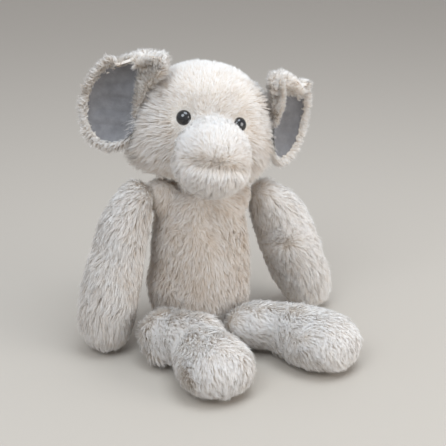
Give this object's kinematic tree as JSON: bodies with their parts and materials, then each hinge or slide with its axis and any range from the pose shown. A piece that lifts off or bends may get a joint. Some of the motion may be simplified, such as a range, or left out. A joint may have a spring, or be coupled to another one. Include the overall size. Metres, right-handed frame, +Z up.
{
  "type": "stuffed elephant",
  "caption": "Seated stuffed toy elephant with floppy arms and legs, cupped grey-lined ears, a short rounded trunk and glossy black eyes.",
  "frame": {"origin": "centre of the flat seat, on the surface that the toy sits on, under the middle of the torso", "axes": "+Z up; -Y is the way the torso faces; -X is the toy's own right side"},
  "size_m": [0.2409, 0.1961, 0.2585],
  "materials": {
    "cream_pile": "matte",
    "grey_velour": "matte",
    "hem_cloth": "matte",
    "filling": "matte",
    "pellet_bag": "matte",
    "eye_black": "gloss",
    "washer_white": "satin",
    "label_white": "matte"
  },
  "bodies": {
    "torso": {"torso_front_right": "cream_pile", "torso_front_left": "cream_pile", "torso_back_right": "cream_pile", "torso_back_left": "cream_pile", "seat_panel": "cream_pile", "torso_stuffing": "filling", "pellet_pouch": "pellet_bag", "care_label": "label_white"},
    "neck": {"neck_stuffing": "filling"},
    "head": {"head_side_right": "cream_pile", "head_side_left": "cream_pile", "head_gusset": "cream_pile", "chin": "cream_pile", "trunk_top": "cream_pile", "trunk_under": "cream_pile", "head_stuffing": "filling", "eye_right": "eye_black", "eye_left": "eye_black", "eye_washer_right": "washer_white", "eye_washer_left": "washer_white"},
    "ear_right": {"ear_fur_right": "cream_pile", "ear_lining_right": "grey_velour"},
    "shoulder_right": {"arm_hem_right": "hem_cloth"},
    "arm_right": {"arm_front_right": "cream_pile", "arm_back_right": "cream_pile", "arm_stuffing_right": "filling"},
    "hip_right": {"leg_hem_right": "hem_cloth"},
    "leg_right": {"leg_top_right": "cream_pile", "leg_sole_right": "cream_pile", "leg_stuffing_right": "filling"},
    "ear_left": {"ear_fur_left": "cream_pile", "ear_lining_left": "grey_velour"},
    "shoulder_left": {"arm_hem_left": "hem_cloth"},
    "arm_left": {"arm_front_left": "cream_pile", "arm_back_left": "cream_pile", "arm_stuffing_left": "filling"},
    "hip_left": {"leg_hem_left": "hem_cloth"},
    "leg_left": {"leg_top_left": "cream_pile", "leg_sole_left": "cream_pile", "leg_stuffing_left": "filling"},
    "tail": {"tail": "cream_pile"}
  },
  "joints": [
    {"name": "neck_turn", "type": "hinge", "parent": "torso", "child": "neck", "pos_m": [-0.005, 0, 0.149], "axis": [0, 0, 1], "range_deg": [-30, 30], "stiffness_Nm_per_rad": 0.2},
    {"name": "head_nod", "type": "hinge", "parent": "neck", "child": "head", "pos_m": [-0.005, 0, 0.149], "axis": [0.9556, -0.2379, -0.1739], "range_deg": [-15, 18], "stiffness_Nm_per_rad": 0.6},
    {"name": "ear_right_flap", "type": "hinge", "parent": "head", "child": "ear_right", "pos_m": [-0.03956, 0.01274, 0.20623], "axis": [0.3559, -0.1819, 0.9167], "range_deg": [-25, 25], "stiffness_Nm_per_rad": 0.02},
    {"name": "ear_left_flap", "type": "hinge", "parent": "head", "child": "ear_left", "pos_m": [0.04919, -0.00939, 0.19518], "axis": [0.09, -0.08, 0.9927], "range_deg": [-25, 25], "stiffness_Nm_per_rad": 0.02},
    {"name": "arm_right_swing", "type": "hinge", "parent": "torso", "child": "shoulder_right", "pos_m": [-0.059, 0, 0.133], "axis": [-1, 0, 0], "range_deg": [-35, 100]},
    {"name": "arm_right_lift", "type": "hinge", "parent": "shoulder_right", "child": "arm_right", "pos_m": [-0.059, 0, 0.133], "axis": [0, 1, 0], "range_deg": [-8, 75]},
    {"name": "arm_left_swing", "type": "hinge", "parent": "torso", "child": "shoulder_left", "pos_m": [0.06, 0, 0.123], "axis": [-1, 0, 0], "range_deg": [-35, 100]},
    {"name": "arm_left_lift", "type": "hinge", "parent": "shoulder_left", "child": "arm_left", "pos_m": [0.06, 0, 0.123], "axis": [0, -1, 0], "range_deg": [-15, 62]},
    {"name": "leg_right_splay", "type": "hinge", "parent": "torso", "child": "hip_right", "pos_m": [-0.034, -0.03, 0.0225], "axis": [0, 0, -1], "range_deg": [0, 40]},
    {"name": "leg_right_fold", "type": "hinge", "parent": "hip_right", "child": "leg_right", "pos_m": [-0.034, -0.03, 0.0225], "axis": [0.9994, -0.0349, 0], "range_deg": [-45, 80]},
    {"name": "leg_left_splay", "type": "hinge", "parent": "torso", "child": "hip_left", "pos_m": [0.031, -0.038, 0.0225], "axis": [0, 0, 1], "range_deg": [-20, 18]},
    {"name": "leg_left_fold", "type": "hinge", "parent": "hip_left", "child": "leg_left", "pos_m": [0.031, -0.038, 0.0225], "axis": [0.9063, 0.4226, 0], "range_deg": [-45, 80]},
    {"name": "tail_swing", "type": "hinge", "parent": "torso", "child": "tail", "pos_m": [0, 0.041, 0.04], "axis": [1, 0, 0], "range_deg": [-15, 70]}
  ]
}
